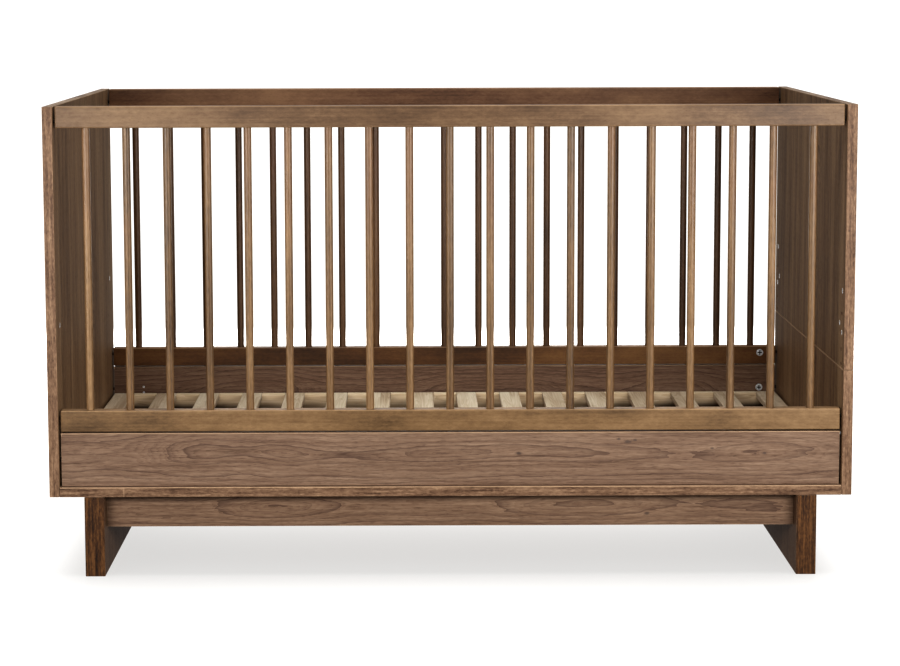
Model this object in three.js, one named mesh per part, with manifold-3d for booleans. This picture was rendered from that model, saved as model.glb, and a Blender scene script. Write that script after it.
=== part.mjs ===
// A slatted-side baby crib: two board ends, two barred sides, a bottom board on a
// two-legged stand, and a loose slatted mattress base that is set at the height wanted.
// Millimetres. X runs along the crib, -Y is the front, +Z is up, and the origin is the
// middle of the footprint on the floor.
import * as THREE from 'three';
import { mergeVertices } from 'three/addons/utils/BufferGeometryUtils.js';
import Module from 'manifold-3d';

const wasm = await Module();
wasm.setup();

// ---------------------------------------------------------------- driving dimensions
const LENGTH = 1456;
const DEPTH = 770;
const HEIGHT = 856;
const BOARD = 18;
const TOUCH_GAP = 0.3;

const LEG_HEIGHT = 147;
const LEG_THICKNESS = 36;
const LEG_INSET = 63;
const STRETCHER_HEIGHT = 62;
const STRETCHER_RECESS = 33;

const SIDE_RECESS = 10;
const SIDE_END_GAP = 3;
const LOWER_PANEL_HEIGHT = 98;
const SHADOW_GAP = 2.5;
const RAIL_THICKNESS = 24;
const RAIL_HEIGHT = 39;

const SPINDLE_COUNT = 19;
const SPINDLE_PITCH = 72.6;
const SPINDLE_DIAMETER = 14;
const SPINDLE_SEAT_DEPTH = 25;
const SPINDLE_SIDES = 12;

const END_SPLIT_Z = 376;
const END_SPLIT_GAP = 0.6;
const LINK_PIN_DIAMETER = 8;
const LINK_PIN_LENGTH = 60;
const LINK_PIN_Y = 300;
const LINK_PIN_SIDES = 12;

const BASE_LENGTH = 1410;
const BASE_WIDTH = 696;
const BASE_HEIGHT = 42;
const BASE_RAIL_THICKNESS = 20;
const BASE_END_RAIL_HEIGHT = 30;
const SLAT_COUNT = 16;
const SLAT_WIDTH = 42;
const SLAT_THICKNESS = 12;

const CAM_DIAMETER = 15;
const CAM_LENGTH = 12;
const CAM_FROM_END = 34;
const CAM_RAIL_Z = 290;
const CAM_PANEL_Z = 214;
const CAM_SIDES = 16;
const CAM_CROSS = { length: 9, width: 1.8, depth: 2.5 };

// ---------------------------------------------------------------- worked-out places
const INNER_LENGTH = LENGTH - 2 * BOARD;
const BOTTOM_BOARD_TOP = LEG_HEIGHT + BOARD;
const LOWER_PANEL_TOP = BOTTOM_BOARD_TOP + LOWER_PANEL_HEIGHT;
const BOTTOM_RAIL_Z = LOWER_PANEL_TOP + SHADOW_GAP;
const BOTTOM_RAIL_TOP = BOTTOM_RAIL_Z + RAIL_HEIGHT;
const TOP_RAIL_Z = HEIGHT - RAIL_HEIGHT;
const SIDE_LENGTH = INNER_LENGTH - 2 * SIDE_END_GAP;
const SIDE_FACE_Y = DEPTH / 2 - SIDE_RECESS;
const RAIL_Y = SIDE_FACE_Y - RAIL_THICKNESS / 2;
const PANEL_Y = SIDE_FACE_Y - BOARD / 2;
const END_X = LENGTH / 2 - BOARD / 2;
const LEG_X = LENGTH / 2 - LEG_INSET - LEG_THICKNESS / 2;

// ---------------------------------------------------------------- finishes
const WALNUT_BOARD = { color: 0x82644e, roughness: 0.6, metalness: 0 };
const WALNUT_LEG = { color: 0x6a4a30, roughness: 0.6, metalness: 0 };
const TOP_RAIL_STAIN = { color: 0x8e745a, roughness: 0.5, metalness: 0 };
const BOTTOM_RAIL_STAIN = { color: 0x8a6e48, roughness: 0.5, metalness: 0 };
const SPINDLE_STAIN = { color: 0x86684c, roughness: 0.5, metalness: 0 };
const PALE_BIRCH = { color: 0xcdb793, roughness: 0.65, metalness: 0 };
const ZINC = { color: 0xb8babc, roughness: 0.35, metalness: 1 };
const STEEL = { color: 0x9a9c9e, roughness: 0.4, metalness: 1 };

// ---------------------------------------------------------------- shape helpers
function toSolid(geometry) {
  const bare = geometry.clone();
  bare.deleteAttribute('normal');
  bare.deleteAttribute('uv');
  const merged = mergeVertices(bare, 1e-4);
  const vertProperties = merged.attributes.position.array;
  const triVerts = new Uint32Array(merged.index.array);
  return new wasm.Manifold(new wasm.Mesh({ numProp: 3, vertProperties, triVerts }));
}

function toGeometry(solid) {
  const mesh = solid.getMesh();
  const geometry = new THREE.BufferGeometry();
  geometry.setAttribute('position', new THREE.BufferAttribute(mesh.vertProperties, 3));
  geometry.setIndex(new THREE.BufferAttribute(mesh.triVerts, 1));
  geometry.computeVertexNormals();
  return geometry;
}

function cut(body, cutters) {
  let solid = toSolid(body);
  for (const cutter of cutters) solid = solid.subtract(toSolid(cutter));
  return toGeometry(solid);
}

function join(pieces) {
  let solid = toSolid(pieces[0]);
  for (const piece of pieces.slice(1)) solid = solid.add(toSolid(piece));
  return toGeometry(solid);
}

function box(width, depth, height, x = 0, y = 0, z = 0) {
  return new THREE.BoxGeometry(width, depth, height).translate(x, y, z);
}

function uprightRod(diameter, length, sides, x = 0, y = 0, z = 0) {
  const rod = new THREE.CylinderGeometry(diameter / 2, diameter / 2, length, sides);
  return rod.rotateX(Math.PI / 2).translate(x, y, z);
}

const crib = new THREE.Group();

function place(name, geometry, finish, x, y, z) {
  const mesh = new THREE.Mesh(geometry, new THREE.MeshStandardMaterial(finish));
  mesh.name = name;
  mesh.position.set(x, y, z);
  crib.add(mesh);
}

// ---------------------------------------------------------------- the stand
function addStand() {
  const legHeight = LEG_HEIGHT - TOUCH_GAP;
  for (const [name, side] of [['left_leg', -1], ['right_leg', 1]]) {
    place(name, box(LEG_THICKNESS, DEPTH, legHeight), WALNUT_LEG, side * LEG_X, 0, legHeight / 2);
  }
  const length = 2 * (LEG_X - LEG_THICKNESS / 2 - TOUCH_GAP);
  const y = DEPTH / 2 - STRETCHER_RECESS - BOARD / 2;
  const z = legHeight - STRETCHER_HEIGHT / 2;
  for (const [name, side] of [['front_stretcher', -1], ['rear_stretcher', 1]]) {
    place(name, box(length, BOARD, STRETCHER_HEIGHT), WALNUT_BOARD, 0, side * y, z);
  }
}

// ---------------------------------------------------------------- bottom and end boards
function addBottomBoard() {
  const length = INNER_LENGTH - 2 * TOUCH_GAP;
  place('bottom_board', box(length, DEPTH, BOARD), WALNUT_BOARD, 0, 0, LEG_HEIGHT + BOARD / 2);
}

function addLeftEnd() {
  const height = HEIGHT - LEG_HEIGHT;
  const z = LEG_HEIGHT + height / 2;
  place('left_end_panel', box(BOARD, DEPTH, height), WALNUT_BOARD, -END_X, 0, z);
}

// The right end is two boards, one above the other, held in line by two upright pins.
function addRightEnd() {
  const spans = [
    ['right_end_panel_lower', LEG_HEIGHT, END_SPLIT_Z - END_SPLIT_GAP / 2],
    ['right_end_panel_upper', END_SPLIT_Z + END_SPLIT_GAP / 2, HEIGHT],
  ];
  for (const [name, low, high] of spans) {
    const middle = (low + high) / 2;
    const holes = [-1, 1].map((side) => uprightRod(
      LINK_PIN_DIAMETER + 2 * TOUCH_GAP,
      LINK_PIN_LENGTH + 2 * TOUCH_GAP,
      LINK_PIN_SIDES,
      0,
      side * LINK_PIN_Y,
      END_SPLIT_Z - middle,
    ));
    place(name, cut(box(BOARD, DEPTH, high - low), holes), WALNUT_BOARD, END_X, 0, middle);
  }
  for (const [name, side] of [['end_link_pin_front', -1], ['end_link_pin_rear', 1]]) {
    const pin = uprightRod(LINK_PIN_DIAMETER, LINK_PIN_LENGTH, LINK_PIN_SIDES);
    place(name, pin, STEEL, END_X, side * LINK_PIN_Y, END_SPLIT_Z);
  }
}

// ---------------------------------------------------------------- barred sides
function spindleX(index) {
  return (index - (SPINDLE_COUNT - 1) / 2) * SPINDLE_PITCH;
}

// seatSide is +1 where the spindles stand in the rail's top and -1 where they enter its underside.
function spindleSeats(seatSide) {
  const seats = [];
  for (let index = 0; index < SPINDLE_COUNT; index += 1) {
    seats.push(uprightRod(
      SPINDLE_DIAMETER + 2 * TOUCH_GAP,
      2 * SPINDLE_SEAT_DEPTH,
      SPINDLE_SIDES,
      spindleX(index),
      0,
      (seatSide * RAIL_HEIGHT) / 2,
    ));
  }
  return seats;
}

// Blind bores for the two cam locks, sunk into the inner face of a rear rail or panel.
function camBores(faceY, z) {
  const depth = CAM_LENGTH + 2 * TOUCH_GAP;
  const radius = CAM_DIAMETER / 2 + TOUCH_GAP;
  return [-1, 1].map((side) => {
    const bore = new THREE.CylinderGeometry(radius, radius, 2 * depth, CAM_SIDES);
    return bore.translate(side * (SIDE_LENGTH / 2 - CAM_FROM_END), faceY, z);
  });
}

function addSide(name, side, hasCams) {
  const rail = () => box(SIDE_LENGTH, RAIL_THICKNESS, RAIL_HEIGHT);
  const topZ = TOP_RAIL_Z + RAIL_HEIGHT / 2;
  place(`${name}_top_rail`, cut(rail(), spindleSeats(-1)), TOP_RAIL_STAIN, 0, side * RAIL_Y, topZ);

  const railZ = BOTTOM_RAIL_Z + RAIL_HEIGHT / 2;
  const railCams = hasCams ? camBores((-side * RAIL_THICKNESS) / 2, CAM_RAIL_Z - railZ) : [];
  const bottomRail = cut(rail(), [...spindleSeats(1), ...railCams]);
  place(`${name}_bottom_rail`, bottomRail, BOTTOM_RAIL_STAIN, 0, side * RAIL_Y, railZ);

  const panelHeight = LOWER_PANEL_HEIGHT - TOUCH_GAP;
  const panelZ = LOWER_PANEL_TOP - panelHeight / 2;
  const panelCams = hasCams ? camBores((-side * BOARD) / 2, CAM_PANEL_Z - panelZ) : [];
  const panel = cut(box(SIDE_LENGTH, BOARD, panelHeight), panelCams);
  place(`${name}_lower_panel`, panel, WALNUT_BOARD, 0, side * PANEL_Y, panelZ);
}

function addSpindles(name, side) {
  const low = BOTTOM_RAIL_TOP - SPINDLE_SEAT_DEPTH + TOUCH_GAP;
  const high = TOP_RAIL_Z + SPINDLE_SEAT_DEPTH - TOUCH_GAP;
  for (let index = 0; index < SPINDLE_COUNT; index += 1) {
    const number = String(index + 1).padStart(2, '0');
    const spindle = uprightRod(SPINDLE_DIAMETER, high - low, SPINDLE_SIDES);
    const x = spindleX(index);
    place(`${name}_spindle_${number}`, spindle, SPINDLE_STAIN, x, side * RAIL_Y, (low + high) / 2);
  }
}

// ---------------------------------------------------------------- cam locks
function camLock() {
  const radius = CAM_DIAMETER / 2;
  const body = new THREE.CylinderGeometry(radius, radius, CAM_LENGTH, CAM_SIDES);
  const { length, width, depth } = CAM_CROSS;
  const faceY = -CAM_LENGTH / 2;
  const slots = [box(length, 2 * depth, width, 0, faceY, 0), box(width, 2 * depth, length, 0, faceY, 0)];
  return cut(body, slots);
}

function addRearCams() {
  const rows = [
    ['rear_rail_cam', SIDE_FACE_Y - RAIL_THICKNESS, CAM_RAIL_Z],
    ['rear_panel_cam', SIDE_FACE_Y - BOARD, CAM_PANEL_Z],
  ];
  for (const [row, faceY, z] of rows) {
    for (const [end, side] of [['left', -1], ['right', 1]]) {
      const x = side * (SIDE_LENGTH / 2 - CAM_FROM_END);
      place(`${row}_${end}`, camLock(), ZINC, x, faceY + TOUCH_GAP + CAM_LENGTH / 2, z);
    }
  }
}

// ---------------------------------------------------------------- mattress base
function addSlattedBase() {
  const pieces = [];
  const railY = (BASE_WIDTH - BASE_RAIL_THICKNESS) / 2;
  for (const side of [-1, 1]) {
    pieces.push(box(BASE_LENGTH, BASE_RAIL_THICKNESS, BASE_HEIGHT, 0, side * railY, 0));
  }
  const endX = (BASE_LENGTH - BASE_RAIL_THICKNESS) / 2;
  const endZ = (BASE_END_RAIL_HEIGHT - BASE_HEIGHT) / 2;
  for (const side of [-1, 1]) {
    pieces.push(box(BASE_RAIL_THICKNESS, BASE_WIDTH, BASE_END_RAIL_HEIGHT, side * endX, 0, endZ));
  }
  const pitch = (BASE_LENGTH - SLAT_WIDTH) / (SLAT_COUNT - 1);
  const slatZ = (BASE_HEIGHT - SLAT_THICKNESS) / 2;
  for (let index = 0; index < SLAT_COUNT; index += 1) {
    const x = (index - (SLAT_COUNT - 1) / 2) * pitch;
    pieces.push(box(SLAT_WIDTH, BASE_WIDTH, SLAT_THICKNESS, x, 0, slatZ));
  }
  const z = BOTTOM_BOARD_TOP + TOUCH_GAP + BASE_HEIGHT / 2;
  place('slatted_base', join(pieces), PALE_BIRCH, 0, 0, z);
}

addStand();
addBottomBoard();
addLeftEnd();
addRightEnd();
addSide('front', -1, false);
addSide('rear', 1, true);
addSpindles('front', -1);
addSpindles('rear', 1);
addRearCams();
addSlattedBase();

export default crib;
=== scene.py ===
"""The looks of a baby crib: veneered boards, stained beech rails and spindles, a pale slatted
base and its fittings.

Metres. X runs along the crib, -Y is the front, +Z is up, and the origin is the middle of the
footprint.
"""

import math
from collections import namedtuple

import bmesh
import bpy
from mathutils import Matrix, Vector


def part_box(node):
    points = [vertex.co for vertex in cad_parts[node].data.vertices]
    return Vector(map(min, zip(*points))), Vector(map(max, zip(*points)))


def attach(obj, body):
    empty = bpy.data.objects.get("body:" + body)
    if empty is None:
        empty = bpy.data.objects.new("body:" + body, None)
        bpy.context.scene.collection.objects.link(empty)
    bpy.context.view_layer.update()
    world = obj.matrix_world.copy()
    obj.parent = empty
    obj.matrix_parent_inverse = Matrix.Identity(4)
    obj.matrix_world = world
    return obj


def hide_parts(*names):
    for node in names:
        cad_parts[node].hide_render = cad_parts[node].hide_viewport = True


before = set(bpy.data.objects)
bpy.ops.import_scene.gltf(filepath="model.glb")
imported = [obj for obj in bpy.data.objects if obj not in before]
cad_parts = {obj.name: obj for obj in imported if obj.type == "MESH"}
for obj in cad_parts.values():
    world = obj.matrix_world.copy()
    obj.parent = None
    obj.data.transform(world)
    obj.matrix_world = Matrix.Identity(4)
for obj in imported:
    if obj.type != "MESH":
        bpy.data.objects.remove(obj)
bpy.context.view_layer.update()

MM = 0.001
FRAME_BODY = "crib_frame"
BASE_BODY = "mattress_base"
X, Y, Z = Vector((1, 0, 0)), Vector((0, 1, 0)), Vector((0, 0, 1))
LEFT_RIGHT = (-1, 1)
FRONT_REAR = (-1, 1)

# ---------------------------------------------------------------- places taken from the frame
CRIB_TOP_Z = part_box("left_end_panel")[1].z
LEFT_INNER_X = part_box("left_end_panel")[1].x
RIGHT_INNER_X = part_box("right_end_panel_lower")[0].x
RAIL_END_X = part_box("front_top_rail")[1].x
TOP_RAIL_MID_Z = (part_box("front_top_rail")[0].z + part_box("front_top_rail")[1].z) / 2
BOARD_TOP_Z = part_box("bottom_board")[1].z

# ---------------------------------------------------------------- making sizes
SPINDLES = 19
SLATS = 16

# How far each kind of piece's arrises are rounded
BOARD_EDGE = 0.8 * MM
PANEL_EDGE = 1.0 * MM
RAIL_EDGE = 2.6 * MM
SLAT_EDGE = 1.8 * MM
BASE_RAIL_EDGE = 1.5 * MM

# The gap around a seated part, and how far a cutter starts outside the face it is sunk from
SEAT_GAP = 0.3 * MM
OVERCUT = 1.0 * MM
SPINDLE_RADIUS = 7 * MM

CAM_RADIUS = 7.5 * MM
CAM_DEPTH = 12 * MM
CAM_RAIL_Z = 290 * MM
CAM_PANEL_Z = 214 * MM
CAM_FROM_END = 34 * MM
CAM_X = RAIL_END_X - CAM_FROM_END
CAM_UNDER_X = 676 * MM
CAM_UNDER_Y = 250 * MM
UNDER_CAM_SPOTS = [(x, y) for x in (-CAM_UNDER_X, CAM_UNDER_X) for y in (-CAM_UNDER_Y, CAM_UNDER_Y)]
CAM_BORE_GAP = 0.8 * MM
CAM_SLACK = 0.1 * MM
CAM_RIM = 0.7 * MM
CROSS_LENGTH = 9.4 * MM
CROSS_WIDTH = 2.4 * MM
CROSS_DEPTH = 2.6 * MM
ARROW_FROM_MIDDLE = 5.6 * MM
ARROW_RADIUS = 1.1 * MM
ARROW_DEPTH = 0.5 * MM
RECESS_SHADE_REACH = 5.5 * MM
RECESS_SHADE_DEPTHS = (0.3 * MM, 3 * MM)

BOLT_RADIUS = 3.4 * MM
BOLT_RIM = 0.4 * MM
BOLT_START_X = CAM_X + CAM_RADIUS + 1 * MM
BOLT_TIP_IN = 0.2 * MM
BOLT_BORE_GAP = 0.6 * MM
BOLT_BORE_END_X = CAM_X + CAM_RADIUS - 2 * MM
BOLT_HEIGHTS = {
    "top_rail": TOP_RAIL_MID_Z - 8 * MM,
    "bottom_rail": CAM_RAIL_Z,
    "lower_panel": CAM_PANEL_Z,
}
PANEL_PIN_RADIUS = 3 * MM
PANEL_PIN_Z = 257 * MM
PANEL_PIN_GAP = 0.2 * MM
SCREW_X = -644 * MM
SCREW_Z = (219 * MM, 207 * MM)
SCREW_RADIUS = 2.4 * MM
SCREW_CROSS = (2.6 * MM, 0.6 * MM)
SCREW_PROUD = 0.3 * MM
SCREW_SUNK = 1 * MM
SCREW_RIM = 0.2 * MM

END_ROW_Y = 359 * MM
END_INSERT_Z = (517 * MM, 441 * MM)
END_DOWEL_Z = (475 * MM, 410 * MM, 384 * MM)
BASE_INSERT_Y = 338 * MM
BASE_INSERT_Z = 456 * MM
INSERT_RADIUS = 5.5 * MM
INSERT_SLACK = 0.15 * MM
INSERT_RIM = 0.5 * MM
INSERT_FLOOR_GAP = 2 * MM
THREAD_RADIUS = 3.1 * MM
THREAD_OVERCUT = 2 * MM
THREAD_CUT = 10 * MM
DOWEL_RADIUS = 4 * MM
BORE_DEPTH = 13 * MM

BASE_RAIL = 20 * MM
SLAT_WIDTH = 42 * MM
SLAT_THICK = 12 * MM
END_RAIL_HEIGHT = 30 * MM
NOTCH_OVERCUT = 5 * MM

# ---------------------------------------------------------------- light
Lamp = namedtuple("Lamp", "place target width height watts")
SUN_PLACE = (0.2, 0.8, 3.0)
SUN_STRENGTH = 2.1
SUN_ANGLE = 50
AMBIENT = 0.3
FLOOR_GLOW = 0.485
FLOOR_REACH = 60.0
FLOOR_CELLS = 0.6
RIGHT_LAMP = Lamp((1.05, -1.75, 0.72), (0.3, 0.0, 0.42), width=0.8, height=0.4, watts=20.0)
LEFT_WATTS = 16.5
LEDGE_LAMP = Lamp((0.0, -1.3, 2.5), (0.0, -0.3, 0.4), width=1.4, height=0.5, watts=10.0)
FLOOR_LAMP = Lamp((0.0, 2.6, 0.5), (0.0, 0.0, 0.0), width=3.2, height=0.3, watts=110.0)
BASE_LAMP = Lamp((0.0, 0.1, 1.8), (0.0, 0.1, 0.2), width=0.4, height=0.4, watts=2.3)
BASE_LAMP_SPREAD = 62
BASE_LAMP_COLOUR = (0.78, 0.92, 1.0)
SIDE_FILL = Lamp((3.0, 0.0, 0.6), (0.7, 0.0, 0.45), width=1.0, height=0.7, watts=14.0)
REAR_FILL = Lamp((0.0, 2.4, 0.6), (0.0, 0.3, 0.4), width=1.6, height=0.7, watts=11.0)
RIM_LAMP = Lamp((2.1, -1.15, 0.7), (0.2, -0.36, 0.56), width=0.35, height=1.2, watts=10.0)


# ---------------------------------------------------------------- shader maths
def paint(red, green, blue):
    """A colour given as 0 to 255 screen values, made linear for the shaders."""
    def linear(level):
        share = level / 255
        return share / 12.92 if share <= 0.04045 else ((share + 0.055) / 1.055) ** 2.4
    return (linear(red), linear(green), linear(blue), 1.0)


def both_ways(operation):
    """An operator of Wire and its reflected form."""
    def plain(wire, other):
        return wire.math(operation, wire, other)

    def reflected(wire, other):
        return wire.math(operation, other, wire)

    return plain, reflected


class Wire:
    """A value that varies over a surface. Arithmetic on it adds Math nodes to its finish."""

    def __init__(self, finish, socket):
        self.finish = finish
        self.socket = socket

    def math(self, operation, first, second=0.0):
        settings = {"operation": operation}
        return self.finish.node("ShaderNodeMath", settings, {0: first, 1: second})

    __add__, __radd__ = both_ways("ADD")
    __sub__, __rsub__ = both_ways("SUBTRACT")
    __mul__, __rmul__ = both_ways("MULTIPLY")
    __truediv__, __rtruediv__ = both_ways("DIVIDE")
    __pow__, __rpow__ = both_ways("POWER")

    def __abs__(self):
        return self.math("ABSOLUTE", self)

    def part(self):
        return self.math("FRACT", self)

    def whole(self):
        return self.math("FLOOR", self)

    def root(self):
        return self.math("SQRT", self)

    def exp(self):
        return self.math("EXPONENT", self)

    def low(self, other):
        return self.math("MINIMUM", self, other)

    def high(self, other):
        return self.math("MAXIMUM", self, other)

    def swing(self, share):
        """A 0 to 1 value as a swing to either side of zero."""
        return (self - 0.5) * share


class Board:
    """The node tree of a finish or of the world, with the one way nodes are added to it."""

    def __init__(self, holder, shader):
        holder.use_nodes = True
        self.tree = holder.node_tree
        self.shader = self.tree.nodes[shader]

    def node(self, kind, settings=None, sockets=None, output=0):
        made = self.tree.nodes.new(kind)
        for name, value in (settings or {}).items():
            if name == "stops":
                self.set_stops(made.color_ramp.elements, value)
            else:
                setattr(made, name, value)
        for key, value in (sockets or {}).items():
            if isinstance(value, Wire):
                self.tree.links.new(value.socket, made.inputs[key])
            else:
                made.inputs[key].default_value = value
        return Wire(self, made.outputs[output])

    @staticmethod
    def set_stops(elements, stops):
        while len(elements) < len(stops):
            elements.new(1.0)
        for element, (position, colour) in zip(elements, stops):
            element.position = position
            element.color = colour

    def join(self, socket, value):
        """Feeds a socket of the shader with a wire, or sets it if it is the same all over."""
        if isinstance(value, Wire):
            self.tree.links.new(value.socket, self.shader.inputs[socket])
        else:
            self.shader.inputs[socket].default_value = value


class Finish(Board):
    """One finish: a material with its Principled shader, wired from Object coordinates."""

    def __init__(self, name):
        self.material = bpy.data.materials.new(name)
        super().__init__(self.material, "Principled BSDF")
        place = self.node("ShaderNodeTexCoord", output="Object")
        outputs = self.node("ShaderNodeSeparateXYZ", {}, {0: place}).socket.node.outputs
        self.x, self.y, self.z = (Wire(self, outputs[i]) for i in range(3))

    def lie(self, grain, across):
        """The coordinates along the grain, across the face and through the board."""
        return [getattr(self, axis) for axis in (grain, across, through(grain, across))]

    def point(self, x, y, z):
        return self.node("ShaderNodeCombineXYZ", {}, {0: x, 1: y, 2: z})

    def noise(self, point, detail=2.0, roughness=0.5):
        sockets = {"Vector": point, "Scale": 1.0, "Detail": detail, "Roughness": roughness}
        return self.node("ShaderNodeTexNoise", {}, sockets)

    def grain(self, lie, cells, shifts=(None, None, None), detail=2.0, roughness=0.5):
        """Noise with so many cells to the metre along each of the three coordinates of lie."""
        axes = []
        for axis, count, shift in zip(lie, cells, shifts):
            stretched = axis * count
            axes.append(stretched if shift is None else stretched + shift)
        return self.noise(self.point(*axes), detail, roughness)

    def chance(self, point):
        settings = {"noise_dimensions": "3D"}
        return self.node("ShaderNodeTexWhiteNoise", settings, {"Vector": point})

    def ease(self, value, low, high):
        """0 below low, 1 above high, and smooth between."""
        settings = {"interpolation_type": "SMOOTHSTEP"}
        sockets = {0: value, 1: low, 2: high, 3: 0.0, 4: 1.0}
        return self.node("ShaderNodeMapRange", settings, sockets)

    def ramp(self, value, stops):
        return self.node("ShaderNodeValToRGB", {"stops": stops}, {0: value})

    def tones(self, level, dark, middle, light):
        return self.ramp(level, [(0.12, dark), (0.5, middle), (0.88, light)])

    def blend(self, share, first, second, how="MIX"):
        settings = {"data_type": "RGBA", "blend_type": how}
        return self.node("ShaderNodeMix", settings, {0: share, 6: first, 7: second}, output=2)

    def close(self, colour, roughness, height=None, depth=0.0, gloss=0.5):
        """Joins the colour, roughness and surface height to the shader."""
        self.join("Base Color", colour)
        self.join("Roughness", roughness)
        if height is not None:
            relief = {"Strength": 1.0, "Distance": depth, "Height": height}
            self.join("Normal", self.node("ShaderNodeBump", {}, relief))
        self.join("Specular IOR Level", gloss)
        return self.material


def through(grain, across):
    """The axis through a board, which is neither along its grain nor across it."""
    return ({"x", "y", "z"} - {grain, across}).pop()


def arris_mask(finish, low, high, width):
    """1 along the arrises of a box-shaped piece, falling to 0 a little way in on each face."""
    total = -1.0
    for axis, least, most in zip((finish.x, finish.y, finish.z), low, high):
        inset = abs(axis - (least + most) / 2) - (most - least) / 2
        total = finish.ease(inset, -width, 0.0) + total
    return total.high(0.0).low(1.0)


# ---------------------------------------------------------------- walnut veneer
WALNUT_DARK = paint(77, 58, 43)
WALNUT_MID = paint(117, 94, 77)
WALNUT_LIGHT = paint(140, 118, 99)
WALNUT_LINE = paint(66, 46, 38)
WALNUT_KNOT = paint(58, 50, 48)
VENEER_EDGE = paint(190, 162, 132)

# Cells of noise to the metre, along the grain, across it and through the board
WALNUT_BROAD = (1.6, 26.0, 26.0)
WALNUT_STREAK = (7.0, 190.0, 190.0)
WALNUT_FIBRE = (40.0, 640.0, 640.0)
WALNUT_PORE = (80.0, 1100.0, 1100.0)
BAND_STREAK = (9.0, 190.0, 60.0)
BAND_FLECK = (130.0, 420.0, 300.0)
BAND_SWAY = (5.0, 9.0, 4.0)

RINGS_TO_THE_METRE = 130.0
# How far, in metres, the pith wanders and the rings waver
PITH_SWAY = 0.035
PITH_DRIFT = 0.03
RING_RIPPLE = 0.017
RING_JAG = 0.003

# A knot's length and the bulge of the rings around it, in knot sizes
KNOT_LENGTH = 1.8
KNOT_BULGE = 1.3

# Where the painted highlight, mixed with wear, starts and is full below a lower panel's crest,
# where the painted highlight starts and is full below a bottom board's, and the half widths in
# which the splice of a band fades
CREST_HIGHLIGHT = (8 * MM, 3 * MM)
BAND_HIGHLIGHT = (2.2 * MM, 0.6 * MM)
SPLICE_FADE = (0.3 * MM, 1.2 * MM)
VENEER_RELIEF = 0.12 * MM
VENEER_GLOSS = 0.3
BAND_RELIEF = 0.1 * MM


class Leaf:
    """How one leaf of veneer was cut: where its pith runs, and where its flames and knots lie.

    heart is the pith's place across the face and depth how far behind the face it lies. Each
    dip, given as a place along the grain, a half length and a rise, brings it nearer and leaves
    a closed flame. Each knot is a place along and across, and a size. tint multiplies the
    colour, and cloud is how much the tone drifts.
    """

    def __init__(
        self, grain, across, heart, depth, seed, tint=(1.0, 1.0, 1.0), dips=(), knots=(), cloud=0.5
    ):
        self.grain = grain
        self.across = across
        self.heart = heart
        self.depth = depth
        self.seed = seed
        self.tint = (*tint, 1.0)
        self.dips = dips
        self.knots = knots
        self.cloud = cloud


def growth_rings(finish, leaf, middle):
    """How many rings a point lies from the wandering pith, and how near it is to a knot."""
    along, across, deep = finish.lie(leaf.grain, leaf.across)
    seed = leaf.seed
    sway = finish.noise(finish.point(along * 1.9, seed, 0.0)) - 0.5
    drift = finish.noise(finish.point(along * 2.3, seed + 7.0, 0.0)) - 0.5
    ripple_at = finish.point(along * 5.0, across * 30.0, seed)
    ripple = finish.noise(ripple_at, detail=3.0, roughness=0.6) - 0.5
    jag = finish.noise(finish.point(along * 30.0, across * 170.0, seed + 3.0)) - 0.5
    side = across - leaf.heart + sway * PITH_SWAY
    behind = (deep - middle) * 0.9 + leaf.depth + drift * PITH_DRIFT
    for at, length, rise in leaf.dips:
        step = (along - at) / length
        behind = behind - (step * step * -1.0).exp() * rise
    radius = (side * side + behind * behind).root() + ripple * RING_RIPPLE + jag * RING_JAG
    knot = 0.0
    for at_along, at_across, size in leaf.knots:
        step_along = (along - at_along + jag * size * 1.6) / (KNOT_LENGTH * size)
        step_across = (across - at_across + ripple * size * 1.2) / size
        near = ((step_along * step_along + step_across * step_across) * -1.0).exp()
        radius = radius + near * (KNOT_BULGE * size)
        knot = near + knot
    return radius * RINGS_TO_THE_METRE, knot


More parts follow.
